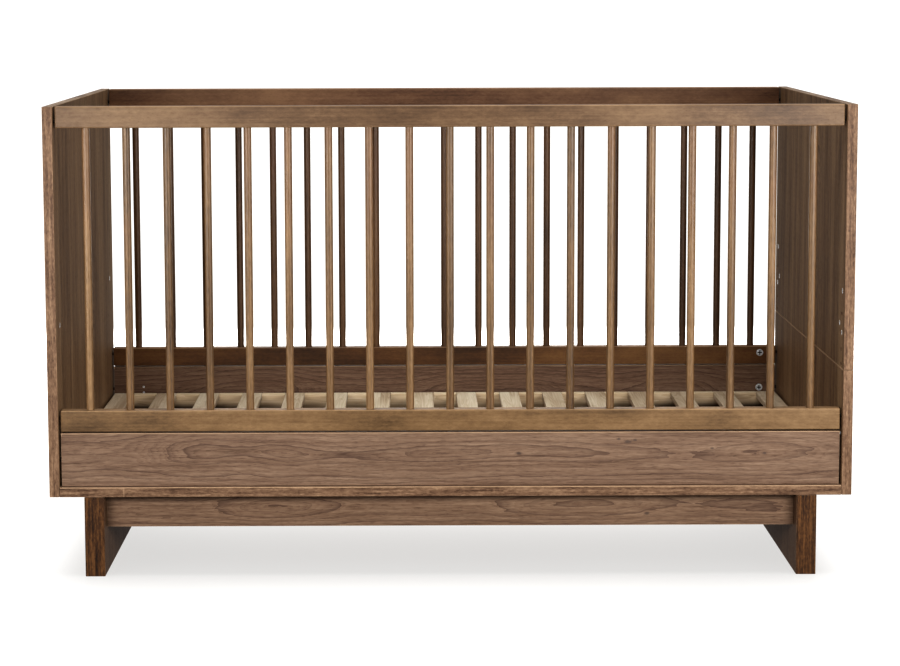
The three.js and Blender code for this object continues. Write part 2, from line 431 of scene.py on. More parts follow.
def walnut(name, leaf, low, high, arris_paleness=0.5, reach=1.6 * MM, crest_highlight=False):
    """Flat-cut walnut veneer under matt lacquer.

    Its arrises are rubbed paler as far as reach. With crest_highlight the paling stays mostly on
    the top edge, where it is a painted highlight of light from above as well as rubbing. low and
    high are the corners of its board.
    """
    finish = Finish(name)
    lie = finish.lie(leaf.grain, leaf.across)
    deep_axis = through(leaf.grain, leaf.across)
    middle = (getattr(low, deep_axis) + getattr(high, deep_axis)) / 2
    rings, knot = growth_rings(finish, leaf, middle)
    strength = finish.chance(finish.point(rings.whole(), leaf.seed, 0.0))
    late_wood = rings.part() ** 3.0 * (0.25 + strength * 0.75)
    fine = (rings * 3.0 + strength * 5.0).part() ** 2.0
    seeded = (None, None, leaf.seed)
    broad = finish.grain(lie, WALNUT_BROAD, seeded, detail=3.0)
    streak = finish.grain(lie, WALNUT_STREAK, seeded, detail=3.0, roughness=0.6)
    fibre = finish.grain(lie, WALNUT_FIBRE, roughness=0.6)
    pore = finish.ease(finish.grain(lie, WALNUT_PORE, detail=1.0), 0.56, 0.7)
    tone = broad.swing(leaf.cloud) + streak.swing(0.85) + fibre.swing(0.7) - fine * 0.15 + 0.6
    colour = finish.ramp(tone, [(0.14, WALNUT_DARK), (0.5, WALNUT_MID), (0.88, WALNUT_LIGHT)])
    colour = finish.blend(late_wood * 0.78, colour, WALNUT_LINE)
    colour = finish.blend(pore * 0.42, colour, WALNUT_LINE)
    if leaf.knots:
        colour = finish.blend(finish.ease(knot, 0.4, 1.0) * 0.6, colour, WALNUT_KNOT)
    colour = finish.blend(1.0, colour, leaf.tint, how="MULTIPLY")
    pale_arris = arris_mask(finish, low, high, reach) * (0.45 + fibre * 0.8) * arris_paleness
    # Painted highlight mixed with wear: the pale arris is kept mostly on the top edge, where light
    # from above falls
    if crest_highlight:
        start, full = (high.z - below for below in CREST_HIGHLIGHT)
        pale_arris = pale_arris * (0.12 + finish.ease(finish.z, start, full) * 0.88)
    colour = finish.blend(pale_arris, colour, VENEER_EDGE)
    dullness = 0.56 + fibre.swing(0.16) + pore * 0.12
    height = fibre * 0.6 + streak * 0.3 - pore * 0.8 - late_wood * 0.3
    return finish.close(colour, dullness, height, VENEER_RELIEF, VENEER_GLOSS)


def edge_band(name, grain, across, tones, streaky=0.6, seam=None, highlight_crest=None):
    """Straight-grained banding glued on a board's edge, flecked with open pores.

    A splice crosses it at the seam, and toward highlight_crest it is painted pale: a painted
    highlight of light falling on the ledge from above.
    """
    finish = Finish(name)
    lie = finish.lie(grain, across)
    streak = finish.grain(lie, BAND_STREAK, detail=3.0, roughness=0.6)
    fleck = finish.grain(lie, BAND_FLECK, roughness=0.65)
    sway = finish.grain(lie, BAND_SWAY)
    level = streak.swing(2.0) * streaky + fleck.swing(1.1) + sway.swing(0.6) + 0.5
    colour = finish.tones(level, *tones)
    if seam is not None:
        splice = 1.0 - finish.ease(abs(lie[0] - seam), *SPLICE_FADE)
        colour = finish.blend(splice * 0.32, colour, VENEER_EDGE)
    if highlight_crest is not None:
        # Painted highlight: a pale strip at the top where light from above falls on the ledge
        top = finish.ease(finish.z, *(highlight_crest - below for below in BAND_HIGHLIGHT))
        colour = finish.blend(top * (0.4 + fleck * 0.6), colour, VENEER_EDGE)
    height = streak + fleck * 0.8
    return finish.close(colour, 0.6 + fleck.swing(0.2), height, BAND_RELIEF, VENEER_GLOSS)


# ---------------------------------------------------------------- stained beech
# Cells of noise to the metre, along, across and through a rail, or in X, Y and Z on a spindle
BEECH_CLOUD = (3.6, 9.0, 9.0)
BEECH_BLOTCH = (17.0, 48.0, 48.0)
BEECH_SPECK = (110.0, 260.0, 260.0)
BEECH_LINE = (2.0, 240.0, 240.0)
BEECH_RAY = (240.0, 1200.0, 1200.0)
BAR_STREAK = (150.0, 150.0, 2.4)
BAR_SPECK = (420.0, 420.0, 70.0)
BEECH_RELIEF = 0.08 * MM
BEECH_WEAR_REACH = 2.4 * MM
BEECH_WORN = paint(176, 148, 116)
BEECH_RUDDY = paint(96, 62, 42)


def stained_beech(name, tones, low, high):
    """A beech rail under a brown stain: cloudy, finely lined and flecked by its rays."""
    finish = Finish(name)
    lie = finish.lie("x", "z")
    cloud = finish.grain(lie, BEECH_CLOUD)
    blotch = finish.grain(lie, BEECH_BLOTCH, detail=3.0, roughness=0.6)
    speck = finish.grain(lie, BEECH_SPECK, roughness=0.6)
    line = finish.grain(lie, BEECH_LINE, roughness=0.6)
    fleck = finish.ease(finish.grain(lie, BEECH_RAY, detail=0.0), 0.64, 0.76)
    level = cloud.swing(1.3) + blotch.swing(0.5) + speck.swing(0.4) + line.swing(0.4) + 0.5
    colour = finish.tones(level, *tones)
    colour = finish.blend(fleck * 0.25, colour, tones[0])
    pale_arris = arris_mask(finish, low, high, BEECH_WEAR_REACH) * (0.3 + line * 0.9) * 0.75
    colour = finish.blend(pale_arris, colour, BEECH_WORN)
    dullness = 0.5 + cloud.swing(0.14) + fleck * 0.1
    height = line * 0.5 + speck * 0.3 - fleck * 0.5
    return finish.close(colour, dullness, height, BEECH_RELIEF, gloss=0.35)


def bar_beech(name, pitch, tones):
    """Stained beech spindles, each with its own tone and long streaks, some ruddy near the top."""
    finish = Finish(name)
    place = (finish.x, finish.y, finish.z)
    number = (finish.x / pitch + 0.5).whole()
    own = finish.chance(finish.point(number, 4.0, 1.0))
    shift = own * 37.0
    streak = finish.grain(place, BAR_STREAK, (shift, None, None), roughness=0.6)
    sway = finish.noise(finish.point(shift, finish.y * 20.0, finish.z * 6.0))
    speck = finish.grain(place, BAR_SPECK, (None, None, shift))
    level = streak.swing(0.8) + sway.swing(0.5) + speck.swing(0.5) + own.swing(0.2) + 0.5
    colour = finish.tones(level, *tones)
    ruddy = finish.ease(finish.z, 0.55, 0.72) * finish.ease(sway + own * 0.3, 0.6, 0.8)
    colour = finish.blend(ruddy * 0.35, colour, BEECH_RUDDY)
    height = streak + speck * 0.4
    return finish.close(colour, 0.42 + sway.swing(0.16), height, BEECH_RELIEF, gloss=0.5)


# ---------------------------------------------------------------- pale birch
# Cells of noise to the metre, along the grain, across it and through the piece
BIRCH_ARCH = (2.2, 30.0, 40.0)
BIRCH_LINE = (5.0, 330.0, 330.0)
BIRCH_CLOUD = (6.0, 14.0, 14.0)
BIRCH_PITH = (26.0, 190.0, 190.0)
BIRCH_RELIEF = 0.12 * MM
# Where the painted shade on a rail's face ends above its foot, and along the crib from its middle
PAINTED_SHADE_FOOT = (12 * MM, 27 * MM)
PAINTED_SHADE_ENDS = (0.15, 0.55)
BIRCH_FLECK = paint(118, 90, 64)
BIRCH_PAINTED_SHADE = paint(48, 32, 20)
SLAT_BIRCH = [(0.1, paint(142, 116, 90)), (0.5, paint(180, 160, 136)), (0.9, paint(206, 190, 168))]
RAIL_BIRCH = [(0.1, paint(158, 132, 102)), (0.5, paint(194, 172, 142)), (0.9, paint(216, 199, 174))]


def pale_birch(name, grain, across, stops, cell=None, painted_shade_box=None):
    """Planed birch with no stain: pale, with faint arches and a few brown pith flecks.

    cell is the pitch of slats that each have their own tone. painted_shade_box, the box between two
    rails, gets painted shade on the faces toward it: darker at their foot, more so at the ends.
    """
    finish = Finish(name)
    lie = finish.lie(grain, across)
    own = 0.5
    if cell is not None:
        own = finish.chance(finish.point((finish.x / cell + 0.5).whole(), 5.0, 1.0))
    shifts = (own * 17.0, None, None)
    arch = finish.grain(lie, BIRCH_ARCH, shifts)
    line = finish.grain(lie, BIRCH_LINE, shifts, detail=3.0, roughness=0.6)
    cloud = finish.grain(lie, BIRCH_CLOUD, shifts, detail=1.0)
    fleck = finish.ease(finish.grain(lie, BIRCH_PITH, shifts, detail=1.0), 0.7, 0.8)
    ring = (arch * 16.0).part().swing(0.2)
    level = line.swing(0.6) + cloud.swing(0.55) + ring + (own - 0.5) * 0.25 + 0.5
    colour = finish.ramp(level, stops)
    colour = finish.blend(fleck * 0.5, colour, BIRCH_FLECK)
    # Painted shade: the faces toward the box darken at their foot and toward the crib's ends, where
    # shade falls
    if painted_shade_box:
        low, high = painted_shade_box
        inner = 1.0 - finish.ease(abs(finish.y), high.y + 0.1 * MM, high.y + 0.9 * MM)
        foot = 1.0 - finish.ease(finish.z, *(low.z + above for above in PAINTED_SHADE_FOOT))
        toward_ends = 0.35 + finish.ease(abs(finish.x), *PAINTED_SHADE_ENDS) * 0.6
        colour = finish.blend(inner * foot * toward_ends, colour, BIRCH_PAINTED_SHADE)
    return finish.close(colour, 0.6 + line.swing(0.2), line, BIRCH_RELIEF, gloss=0.35)


# ---------------------------------------------------------------- metal
# Cells of noise to the metre in X, Y and Z
METAL_GRIME = (300.0, 300.0, 300.0)
METAL_SCRATCH = (900.0, 3000.0, 3200.0)
METAL_RELIEF = 0.03 * MM


def plated_metal(name, bright, dull, roughness):
    """Plated or blackened metal with fine turning marks and a little tarnish."""
    finish = Finish(name)
    place = (finish.x, finish.y, finish.z)
    grime = finish.grain(place, METAL_GRIME, detail=3.0)
    scratch = finish.grain(place, METAL_SCRATCH)
    colour = finish.blend(finish.ease(grime, 0.4, 0.75), bright, dull)
    finish.join("Metallic", 0.8)
    return finish.close(colour, roughness + grime.swing(0.3), scratch, METAL_RELIEF)


# ---------------------------------------------------------------- finishes of several pieces
BAND_TONES = (paint(68, 46, 31), paint(113, 88, 68), paint(146, 120, 96))
CREST_TONES = (paint(78, 60, 50), paint(120, 101, 84), paint(152, 133, 114))
LEG_TONES = (paint(36, 20, 9), paint(71, 45, 22), paint(103, 71, 40))
BAND_SEAM_X = LEFT_INNER_X + 117 * MM

end_band = edge_band("end_edge_band", "z", "x", BAND_TONES)
top_band = edge_band("top_edge_band", "y", "x", CREST_TONES)
bottom_band = edge_band(
    "bottom_edge_band", "x", "z", BAND_TONES, seam=BAND_SEAM_X, highlight_crest=BOARD_TOP_Z
)
panel_band = edge_band("panel_edge_band", "x", "y", BAND_TONES)
leg_band = edge_band("leg_edge_band", "z", "x", LEG_TONES, streaky=1.0)

zinc = plated_metal("zinc_plate", paint(226, 229, 232), paint(170, 174, 178), 0.4)
insert_zinc = plated_metal("insert_zinc", paint(240, 240, 238), paint(200, 202, 204), 0.55)
steel = plated_metal("plain_steel", paint(190, 192, 196), paint(120, 120, 122), 0.36)
black_bolt_and_recess_shade = plated_metal("blackened_bolt_and_recess_shade", paint(52, 50, 50), paint(30, 29, 29), 0.5)
# The cams' second finish is the dark one, painted shade in their recesses
CAM_FINISHES = [zinc, black_bolt_and_recess_shade]

# Dark, middle and light tones of the top rail, the bottom rail and the spindles of each side. The
# rear tones are redder copies of the front ones, darker for the bottom rail and spindles: painted
# shade on the rear side.
BEECH_TONES = {
    "front": (
        (paint(64, 45, 29), paint(101, 78, 56), paint(129, 105, 79)),
        (paint(74, 54, 32), paint(116, 91, 62), paint(144, 118, 86)),
        (paint(54, 36, 20), paint(104, 79, 50), paint(141, 113, 80)),
    ),
    "rear": (
        (paint(68, 45, 31), paint(112, 81, 58), paint(140, 108, 80)),
        (paint(52, 32, 15), paint(90, 60, 32), paint(116, 84, 48)),
        (paint(46, 28, 14), paint(86, 60, 36), paint(118, 88, 58)),
    ),
}


# ---------------------------------------------------------------- shapes
# The least share of a face's normal along a direction that it counts as looking in
FACING = 0.6
SHARP_ANGLE = 40


def soften(shape, edges, width, rounds):
    bmesh.ops.bevel(
        shape, geom=list(edges), offset=width, segments=rounds, profile=0.5, affect="EDGES",
        material=-1,
    )


def block(low, high, edge=BOARD_EDGE, rounds=2):
    """A box from corner to corner with rounded arrises."""
    shape = bmesh.new()
    bmesh.ops.create_cube(shape, size=1.0)
    bmesh.ops.scale(shape, vec=Vector(high) - Vector(low), verts=shape.verts)
    bmesh.ops.translate(shape, vec=(Vector(low) + Vector(high)) / 2, verts=shape.verts)
    if edge:
        soften(shape, shape.edges, edge, rounds)
    return shape


def rod(start, end, radius, sides=32, edge=0.0):
    """A round bar from one point to another, with its end rims rounded."""
    start, end = Vector(start), Vector(end)
    length = (end - start).length
    shape = bmesh.new()
    bmesh.ops.create_cone(
        shape, cap_ends=True, segments=sides, radius1=radius, radius2=radius, depth=length
    )
    if edge:
        rims = [e for e in shape.edges if abs(e.verts[0].co.z - e.verts[1].co.z) < edge]
        soften(shape, rims, edge, 2)
    turn = Z.rotation_difference((end - start).normalized()).to_matrix()
    bmesh.ops.rotate(shape, cent=Vector(), matrix=turn, verts=shape.verts)
    bmesh.ops.translate(shape, vec=(start + end) / 2, verts=shape.verts)
    return shape


def as_mesh(shape, name):
    mesh = bpy.data.meshes.new(name)
    shape.to_mesh(mesh)
    shape.free()
    return mesh


def gather(shapes):
    """Several shapes in one mesh."""
    together = bmesh.new()
    for shape in shapes:
        mesh = as_mesh(shape, "loose")
        together.from_mesh(mesh)
        bpy.data.meshes.remove(mesh)
    return together


def cut(shape, cutters):
    """The shape with the cutters' room taken out of it. The cutters stay clear of each other."""
    body = bpy.data.objects.new("body", as_mesh(shape, "body"))
    tool = bpy.data.objects.new("tool", as_mesh(gather(cutters), "tool"))
    for item in (body, tool):
        bpy.context.scene.collection.objects.link(item)
    saw = body.modifiers.new("cut", "BOOLEAN")
    saw.operation = "DIFFERENCE"
    saw.solver = "EXACT"
    saw.object = tool
    ready = bpy.context.evaluated_depsgraph_get()
    sawn = bpy.data.meshes.new_from_object(body.evaluated_get(ready))
    result = bmesh.new()
    result.from_mesh(sawn)
    for item in (body, tool):
        mesh = item.data
        bpy.data.objects.remove(item)
        bpy.data.meshes.remove(mesh)
    bpy.data.meshes.remove(sawn)
    return result


def piece(name, shape, finishes, node=None, body=FRAME_BODY):
    """Turns a shape into a finished piece that rides on its body."""
    bmesh.ops.recalc_face_normals(shape, faces=shape.faces)
    mesh = as_mesh(shape, name)
    for finish in finishes:
        mesh.materials.append(finish)
    mesh.shade_smooth()
    mesh.set_sharp_from_angle(angle=math.radians(SHARP_ANGLE))
    made = bpy.data.objects.new(name, mesh)
    bpy.context.scene.collection.objects.link(made)
    weigh = made.modifiers.new("even_normals", "WEIGHTED_NORMAL")
    weigh.keep_sharp = True
    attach(made, body)
    if node is not None:
        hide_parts(node)
    return made


def band_faces(shape, *directions):
    """Gives the faces that look in these directions the second finish, the edge banding."""
    for face in shape.faces:
        if any(face.normal.dot(direction) > FACING for direction in directions):
            face.material_index = 1


def sunk(inner_x, side, depth):
    """The x of a place sunk this deep from an end panel's inner face. side is -1 at the left."""
    return inner_x + side * depth


# ---------------------------------------------------------------- end panels
TOP_BAND_REACH = 2 * MM
END_TINT = (1.12, 1.08, 0.88)
LEFT_LEAF = Leaf(
    "z", "y", heart=0.08, depth=0.05, seed=3.0, tint=END_TINT, dips=[(0.3, 0.12, 0.04)], cloud=1.0
)
RIGHT_LEAF = Leaf(
    "z", "y", heart=-0.1, depth=0.06, seed=11.0, tint=END_TINT, dips=[(0.62, 0.1, 0.05)], cloud=1.2
)
BASE_INSERTS = [(side * BASE_INSERT_Y, BASE_INSERT_Z, INSERT_RADIUS) for side in FRONT_REAR]
ROW_INSERTS = [(side * END_ROW_Y, z, INSERT_RADIUS) for side in FRONT_REAR for z in END_INSERT_Z]
ROW_DOWELS = [(side * END_ROW_Y, z, DOWEL_RADIUS) for side in FRONT_REAR for z in END_DOWEL_Z]


def end_bores(inner_x, side, rows):
    """Blind bores sunk from a panel's inner face, each a y, a z and a radius."""
    bores = []
    for y, z, radius in rows:
        start = Vector((sunk(inner_x, side, -OVERCUT), y, z))
        bores.append(rod(start, start + Vector((side * BORE_DEPTH, 0, 0)), radius, sides=24))
    return bores


def end_panel(node, leaf, rows):
    low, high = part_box(node)
    side, inner_x = (1, RIGHT_INNER_X) if low.x > 0 else (-1, LEFT_INNER_X)
    shape = block(low, high)
    if rows:
        shape = cut(shape, end_bores(inner_x, side, rows))
    band_faces(shape, Y, -Y)
    for face in shape.faces:
        near_top = face.calc_center_median().z > CRIB_TOP_Z - TOP_BAND_REACH
        if face.normal.z > FACING and near_top:
            face.material_index = 2
    veneer = walnut(f"{node}_veneer", leaf, low, high, arris_paleness=0.85, reach=2.2 * MM)
    finishes = [veneer, end_band, top_band]
    return piece(f"{node}_board", shape, finishes, node)


def insert_sleeve(inner_x, side, y, z):
    """A threaded sleeve sitting flush in its bore."""
    face_x = sunk(inner_x, side, SEAT_GAP)
    end = (sunk(face_x, side, BORE_DEPTH - INSERT_FLOOR_GAP), y, z)
    body = rod((face_x, y, z), end, INSERT_RADIUS - INSERT_SLACK, sides=28, edge=INSERT_RIM)
    hole_start = Vector((sunk(face_x, side, -THREAD_OVERCUT), y, z))
    hole_end = hole_start + Vector((side * THREAD_CUT, 0, 0))
    return cut(body, [rod(hole_start, hole_end, THREAD_RADIUS, sides=20)])


def end_panels():
    upper_rows = BASE_INSERTS + ROW_INSERTS + ROW_DOWELS
    boards = [
        end_panel("left_end_panel", LEFT_LEAF, BASE_INSERTS),
        end_panel("right_end_panel_lower", RIGHT_LEAF, []),
        end_panel("right_end_panel_upper", RIGHT_LEAF, upper_rows),
    ]
    sleeves = [insert_sleeve(LEFT_INNER_X, -1, y, z) for y, z, _ in BASE_INSERTS]
    sleeves += [insert_sleeve(RIGHT_INNER_X, 1, y, z) for y, z, _ in BASE_INSERTS + ROW_INSERTS]
    piece("end_panel_inserts", gather(sleeves), [insert_zinc])
    return boards


# ---------------------------------------------------------------- bottom board and stand
# A darker tint on the legs' veneer: painted shade for their inner faces, which stand in shadow
LEG_SHADE_TINT = (0.68, 0.6, 0.5)
STRETCHER_TINT = (1.0, 0.98, 0.94)
STRETCHER_FLAMES = [(-0.3, 0.1, 0.02), (0.25, 0.14, 0.022)]
BOTTOM_LEAF = Leaf(
    "x", "y", heart=0.1, depth=0.07, seed=21.0, dips=[(-0.2, 0.15, 0.05), (0.4, 0.1, 0.05)]
)


def bottom_board():
    low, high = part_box("bottom_board")
    shape = cut(block(low, high), [cam_bore((x, y, low.z), Z) for x, y in UNDER_CAM_SPOTS])
    band_faces(shape, Y, -Y)
    veneer = walnut("bottom_board_veneer", BOTTOM_LEAF, low, high)
    finishes = [veneer, bottom_band]
    piece("bottom_board_sheet", shape, finishes, "bottom_board")


def stand():
    for node, seed in (("left_leg", 31.0), ("right_leg", 37.0)):
        low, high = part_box(node)
        shape = block(low, high, edge=PANEL_EDGE)
        band_faces(shape, Y, -Y)
        leaf = Leaf("z", "y", heart=0.05, depth=0.05, seed=seed, tint=LEG_SHADE_TINT)
        veneer = walnut(f"{node}_veneer", leaf, low, high)
        piece(f"{node}_board", shape, [veneer, leg_band], node)
    for node, seed in (("front_stretcher", 41.0), ("rear_stretcher", 47.0)):
        low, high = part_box(node)
        leaf = Leaf(
            "x", "z", heart=low.z + 0.036, depth=0.034, seed=seed, tint=STRETCHER_TINT,
            dips=STRETCHER_FLAMES,
            knots=[(-0.18, high.z - 4 * MM, 5 * MM), (0.36, low.z + 22 * MM, 4 * MM)],
        )
        veneer = walnut(f"{node}_veneer", leaf, low, high)
        piece(f"{node}_board", block(low, high), [veneer], node)


# ---------------------------------------------------------------- cam locks
def cam_bore(face, inward):
    """Room for one cam lock, sunk from a face."""
    face, inward = Vector(face), Vector(inward)
    floor = face + inward * (CAM_DEPTH + CAM_BORE_GAP)
    return rod(face - inward * OVERCUT, floor, CAM_RADIUS + SEAT_GAP, sides=40)


def cam_lock(face, inward, up):
    """A disc with a crossed driver recess and a small arrow mark, a hair below the face. The
    recess's faces take the dark second finish as painted shade.
    """
    face, inward, up = Vector(face), Vector(inward), Vector(up)
    top = face + inward * SEAT_GAP
    bottom = top + inward * (CAM_DEPTH - CAM_SLACK)
    disc = rod(top, bottom, CAM_RADIUS - CAM_SLACK, sides=40, edge=CAM_RIM)
    turn = Matrix((up.cross(inward), up, inward)).transposed().to_4x4()
    turn.translation = top
    for length, width in ((CROSS_LENGTH, CROSS_WIDTH), (CROSS_WIDTH, CROSS_LENGTH)):
        start = (-length / 2, -width / 2, -OVERCUT)
        bar = block(start, (length / 2, width / 2, CROSS_DEPTH), edge=0)
        bmesh.ops.transform(bar, matrix=turn, verts=bar.verts)
        disc = cut(disc, [bar])
    arrow_foot, arrow_floor = (0, ARROW_FROM_MIDDLE, -OVERCUT), (0, ARROW_FROM_MIDDLE, ARROW_DEPTH)
    arrow = rod(arrow_foot, arrow_floor, ARROW_RADIUS, sides=3)
    bmesh.ops.transform(arrow, matrix=turn, verts=arrow.verts)
    disc = cut(disc, [arrow])
    # Painted shade: the faces in the driver recess get the dark finish
    for side in disc.faces:
        offset = side.calc_center_median() - top
        depth = offset.dot(inward)
        off_axis = (offset - inward * depth).length
        if RECESS_SHADE_DEPTHS[0] < depth < RECESS_SHADE_DEPTHS[1] and off_axis < RECESS_SHADE_REACH:
            side.material_index = 1
    return disc


def rear_cams():
    for row in ("rail", "panel"):
        for end in ("left", "right"):
            node = f"rear_{row}_cam_{end}"
            low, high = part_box(node)
            face = ((low.x + high.x) / 2, low.y - SEAT_GAP, (low.z + high.z) / 2)
            lock = cam_lock(face, Y, Z)
            piece(f"{node}_lock", lock, CAM_FINISHES, node, body=node)


def hidden_cams():
    """The cam locks of the front side, of both top rails and under the bottom board."""
    front = []
    for node, z in (("front_bottom_rail", CAM_RAIL_Z), ("front_lower_panel", CAM_PANEL_Z)):
        inner_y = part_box(node)[1].y
        front += [cam_lock((x, inner_y, z), -Y, Z) for x in (-CAM_X, CAM_X)]
    piece("front_cam_locks", gather(front), CAM_FINISHES)
    tops = []
    for node in ("front_top_rail", "rear_top_rail"):
        low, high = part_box(node)
        tops += [cam_lock((x, (low.y + high.y) / 2, low.z), Z, X) for x in (-CAM_X, CAM_X)]
    piece("top_rail_cam_locks", gather(tops), CAM_FINISHES)
    under_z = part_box("bottom_board")[0].z
    under = [cam_lock((x, y, under_z), Z, X) for x, y in UNDER_CAM_SPOTS]
    piece("bottom_board_cam_locks", gather(under), CAM_FINISHES)


# ---------------------------------------------------------------- bolts, pin and screws
def cam_bolts():
    """The bolts that cross the narrow gap from each end panel into a rail or panel."""
    bolts = []
    for side in ("front", "rear"):
        for part, z in BOLT_HEIGHTS.items():
            low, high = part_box(f"{side}_{part}")
            y = (low.y + high.y) / 2
            for end, inner_x in ((-1, LEFT_INNER_X), (1, RIGHT_INNER_X)):
                start = (end * BOLT_START_X, y, z)
                tip = (sunk(inner_x, end, BOLT_TIP_IN), y, z)
                bolts.append(rod(start, tip, BOLT_RADIUS, sides=24, edge=BOLT_RIM))
    piece("cam_bolts", gather(bolts), [black_bolt_and_recess_shade])


def locating_pin():
    """The pin in the gap at the right end of the front lower panel."""
    low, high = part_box("front_lower_panel")
    y = (low.y + high.y) / 2
    start = (high.x + PANEL_PIN_GAP, y, PANEL_PIN_Z)
    end = (RIGHT_INNER_X - PANEL_PIN_GAP, y, PANEL_PIN_Z)
    pin = rod(start, end, PANEL_PIN_RADIUS, sides=24)
    piece("panel_locating_pin", pin, [zinc])


def screw_heads():
    """Two small countersunk screws beside the rear left panel cam, each with a crossed recess."""
    face_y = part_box("rear_lower_panel")[0].y
    cross_long, cross_short = SCREW_CROSS
    heads = []
    for z in SCREW_Z:
        front, back = (SCREW_X, face_y - SCREW_PROUD, z), (SCREW_X, face_y + SCREW_SUNK, z)
        head = rod(front, back, SCREW_RADIUS, sides=24, edge=SCREW_RIM)
        middle = Vector((SCREW_X, face_y - 2 * SCREW_PROUD, z))
        for wide, tall in ((cross_long, cross_short), (cross_short, cross_long)):
            reach = Vector((wide / 2, OVERCUT, tall / 2))
            head = cut(head, [block(middle - reach, middle + reach, edge=0)])
        heads.append(head)
    piece("rear_panel_screws", gather(heads), [zinc])


# ---------------------------------------------------------------- barred sides
FRONT_FLAMES = [(-0.46, 0.09, 0.022), (-0.2, 0.17, 0.042), (0.1, 0.3, 0.03), (0.6, 0.16, 0.02)]
FRONT_KNOTS = [
    (0.3215, 0.2446, 0.005), (0.336, 0.2475, 0.003), (0.306, 0.2495, 0.003),
    (0.571, 0.2226, 0.0035), (0.1246, 0.224, 0.0035), (0.475, 0.232, 0.003),
]
REAR_FLAMES = [(-0.4, 0.1, 0.03), (0.1, 0.12, 0.036), (0.5, 0.08, 0.03)]
# A darker tint for the rear lower panel: painted shade on the rear side
REAR_PANEL_SHADE_TINT = (0.88, 0.84, 0.82)
PANEL_LEAVES = {
    "front": Leaf(
        "x", "z", heart=0.2245, depth=0.046, seed=52.0, dips=FRONT_FLAMES, knots=FRONT_KNOTS
    ),
    "rear": Leaf("x", "z", heart=0.2, depth=0.045, seed=63.0, tint=REAR_PANEL_SHADE_TINT, dips=REAR_FLAMES),
}


def inner_face(side, node):
    """The y of a node's face toward the mattress, and the way into the wood from it."""
    low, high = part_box(node)
    return (low.y, Y) if side == "rear" else (high.y, -Y)


def inner_cam_bores(side, node, z):
    inner_y, inward = inner_face(side, node)
    return [cam_bore((x, inner_y, z), inward) for x in (-CAM_X, CAM_X)]


def bolt_bores(node, z):
    low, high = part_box(node)
    y = (low.y + high.y) / 2
    bores = []
    for end in LEFT_RIGHT:
        start = (end * (RAIL_END_X + OVERCUT), y, z)
        bottom = (end * BOLT_BORE_END_X, y, z)
        bores.append(rod(start, bottom, BOLT_RADIUS + BOLT_BORE_GAP, sides=24))
    return bores


def spindle_boxes(side):
    """The node, the middle and the foot and head heights of each spindle of a side."""
    for number in range(1, SPINDLES + 1):
        node = f"{side}_spindle_{number:02d}"
        low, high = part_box(node)
        yield node, (low + high) / 2, low.z, high.z


def spindle_seats(side, rail_face_z, inward):
    """Blind seats for the spindles of one side, sunk from the rail's face."""
    seats = []
    for _, middle, foot, head in spindle_boxes(side):
        floor = (foot if inward < 0 else head) + inward * SEAT_GAP
        start = (middle.x, middle.y, rail_face_z - inward * OVERCUT)
        seats.append(rod(start, (middle.x, middle.y, floor), SPINDLE_RADIUS + SEAT_GAP))
    return seats


def rail(side, row, facing, cams, tones):
    """A rail with seats for its spindles. facing is 1 if they stand below it, -1 if above."""
    node = f"{side}_{row}_rail"
    low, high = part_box(node)
    face_z = low.z if facing > 0 else high.z
    shape = block(low, high, edge=RAIL_EDGE, rounds=3)
    shape = cut(shape, spindle_seats(side, face_z, facing))
    shape = cut(cut(shape, cams), bolt_bores(node, BOLT_HEIGHTS[f"{row}_rail"]))
    beech = stained_beech(f"{node}_beech", tones, low, high)
    piece(f"{node}_bar", shape, [beech], node)


def lower_panel(side):
    node = f"{side}_lower_panel"
    low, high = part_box(node)
    shape = block(low, high, edge=PANEL_EDGE)
    shape = cut(shape, inner_cam_bores(side, node, CAM_PANEL_Z))
    shape = cut(shape, bolt_bores(node, CAM_PANEL_Z))
    band_faces(shape, Z)
    veneer = walnut(
        f"{node}_veneer", PANEL_LEAVES[side], low, high, arris_paleness=0.95, reach=2.4 * MM, crest_highlight=True
    )
    piece(f"{node}_board", shape, [veneer, panel_band], node)


def spindles(side, finish):
    made = []
    for node, middle, foot, head in spindle_boxes(side):
        start, end = (middle.x, middle.y, foot), (middle.x, middle.y, head)
        shape = rod(start, end, SPINDLE_RADIUS, edge=MM)
        made.append(piece(f"{node}_dowel", shape, [finish], node))
    return made


def barred_side(side):
    """Builds one side and returns its spindles."""
    top_tones, bottom_tones, bar_tones = BEECH_TONES[side]
    low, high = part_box(f"{side}_top_rail")
    top_cams = [cam_bore((x, (low.y + high.y) / 2, low.z), Z) for x in (-CAM_X, CAM_X)]
    bottom_cams = inner_cam_bores(side, f"{side}_bottom_rail", CAM_RAIL_Z)
    rail(side, "top", 1, top_cams, top_tones)
    rail(side, "bottom", -1, bottom_cams, bottom_tones)
    lower_panel(side)
    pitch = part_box("front_spindle_02")[0].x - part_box("front_spindle_01")[0].x
    return spindles(side, bar_beech(f"{side}_spindle_beech", pitch, bar_tones))


# ---------------------------------------------------------------- mattress base
def slat_box(index):
    low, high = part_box("slatted_base")
    pitch = (high.x - low.x - SLAT_WIDTH) / (SLATS - 1)
    x = low.x + index * pitch
    return Vector((x, low.y, high.z - SLAT_THICK)), Vector((x + SLAT_WIDTH, high.y, high.z))


def slat_notches():
    """Room for every slat in the long rails, open at the top."""
    notches = []
    for index in range(SLATS):
        low, high = slat_box(index)
        room_below = Vector((SEAT_GAP, NOTCH_OVERCUT, SEAT_GAP))
        room_above = Vector((SEAT_GAP, NOTCH_OVERCUT, NOTCH_OVERCUT))
        notches.append(block(low - room_below, high + room_above, edge=0))
    return notches


